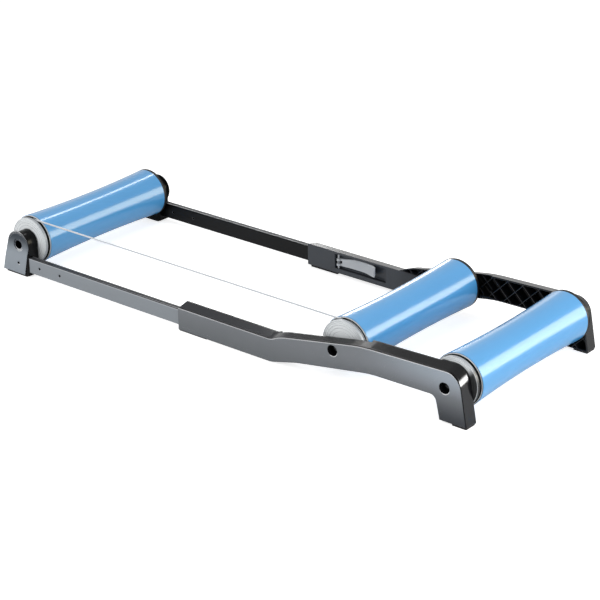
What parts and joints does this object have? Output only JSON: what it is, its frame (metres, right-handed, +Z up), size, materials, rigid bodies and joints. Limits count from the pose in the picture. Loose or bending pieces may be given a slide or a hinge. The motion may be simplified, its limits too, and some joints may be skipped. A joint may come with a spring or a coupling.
{
  "type": "bicycle training rollers",
  "caption": "Free-standing training rollers for a bicycle: concave rollers between moulded side frames, with a round drive belt and a front roller that slides in for storage.",
  "frame": {"origin": "centre of the footprint on the floor", "axes": "+X from the front roller to the rear rollers, +Y across from the belt side to the far side, +Z up"},
  "size_m": [1.356, 0.49, 0.137],
  "materials": {
    "moulded_frame": "satin",
    "coated_rail": "satin",
    "rubber": "matte",
    "axle_steel": "satin",
    "screw_steel": "satin",
    "belt_plastic": "gloss",
    "black_plastic": "satin",
    "roller_blue": "gloss",
    "cap_white": "satin",
    "bearing_steel": "polished",
    "lever_grey": "satin"
  },
  "bodies": {
    "rear_frame": {"near_side_frame": "moulded_frame", "far_side_frame": "moulded_frame", "sleeve_pads": "rubber", "leg_pads": "rubber", "middle_axle": "axle_steel", "rear_axle": "axle_steel", "frame_axle_screws": "screw_steel", "frame_axle_spacers": "axle_steel", "lever_pins": "axle_steel", "lever_springs": "axle_steel", "drive_belt": "belt_plastic"},
    "front_frame": {"near_rail": "coated_rail", "far_rail": "coated_rail", "near_front_foot": "moulded_frame", "far_front_foot": "moulded_frame", "front_foot_pads": "rubber", "front_axle": "axle_steel", "front_axle_screws": "screw_steel", "front_axle_spacers": "axle_steel", "foot_bolts": "screw_steel", "rail_plugs": "black_plastic"},
    "front_roller": {"front_roller_tube": "roller_blue", "front_belt_cap": "cap_white", "front_belt_ring": "rubber", "front_far_cap": "black_plastic", "front_near_bearing": "bearing_steel", "front_far_bearing": "bearing_steel"},
    "middle_roller": {"middle_roller_tube": "roller_blue", "middle_belt_cap": "cap_white", "middle_belt_ring": "rubber", "middle_far_cap": "black_plastic", "middle_near_bearing": "bearing_steel", "middle_far_bearing": "bearing_steel"},
    "rear_roller": {"rear_roller_tube": "roller_blue", "rear_belt_cap": "cap_white", "rear_belt_ring": "rubber", "rear_far_cap": "black_plastic", "rear_near_bearing": "bearing_steel", "rear_far_bearing": "bearing_steel"},
    "near_lever": {"near_lock_lever": "lever_grey"},
    "far_lever": {"far_lock_lever": "lever_grey"}
  },
  "joints": [
    {"name": "frame_slide", "type": "slide", "parent": "rear_frame", "child": "front_frame", "axis": [1, 0, 0], "range_m": [0, 0.46], "deforming": ["drive_belt"]},
    {"name": "middle_roller_spin", "type": "hinge", "parent": "rear_frame", "child": "middle_roller", "pos_m": [0.332, 0, 0.078], "axis": [0, 1, 0], "continuous": true},
    {"name": "rear_roller_spin", "type": "hinge", "parent": "rear_frame", "child": "rear_roller", "pos_m": [0.619, 0, 0.078], "axis": [0, 1, 0], "continuous": true},
    {"name": "front_roller_spin", "type": "hinge", "parent": "front_frame", "child": "front_roller", "pos_m": [-0.619, 0, 0.078], "axis": [0, 1, 0], "continuous": true},
    {"name": "near_lever_hinge", "type": "hinge", "parent": "rear_frame", "child": "near_lever", "pos_m": [-0.016, -0.2179, 0.0375], "axis": [0, 0, 1], "range_deg": [0, 20], "stiffness_Nm_per_rad": 0.15, "springref_deg": -28.65},
    {"name": "far_lever_hinge", "type": "hinge", "parent": "rear_frame", "child": "far_lever", "pos_m": [-0.016, 0.2179, 0.0375], "axis": [0, 0, -1], "range_deg": [0, 20], "stiffness_Nm_per_rad": 0.15, "springref_deg": -28.65}
  ],
  "couplings": [
    {"joint": "front_roller_spin", "follows": "middle_roller_spin", "ratio": 1}
  ]
}
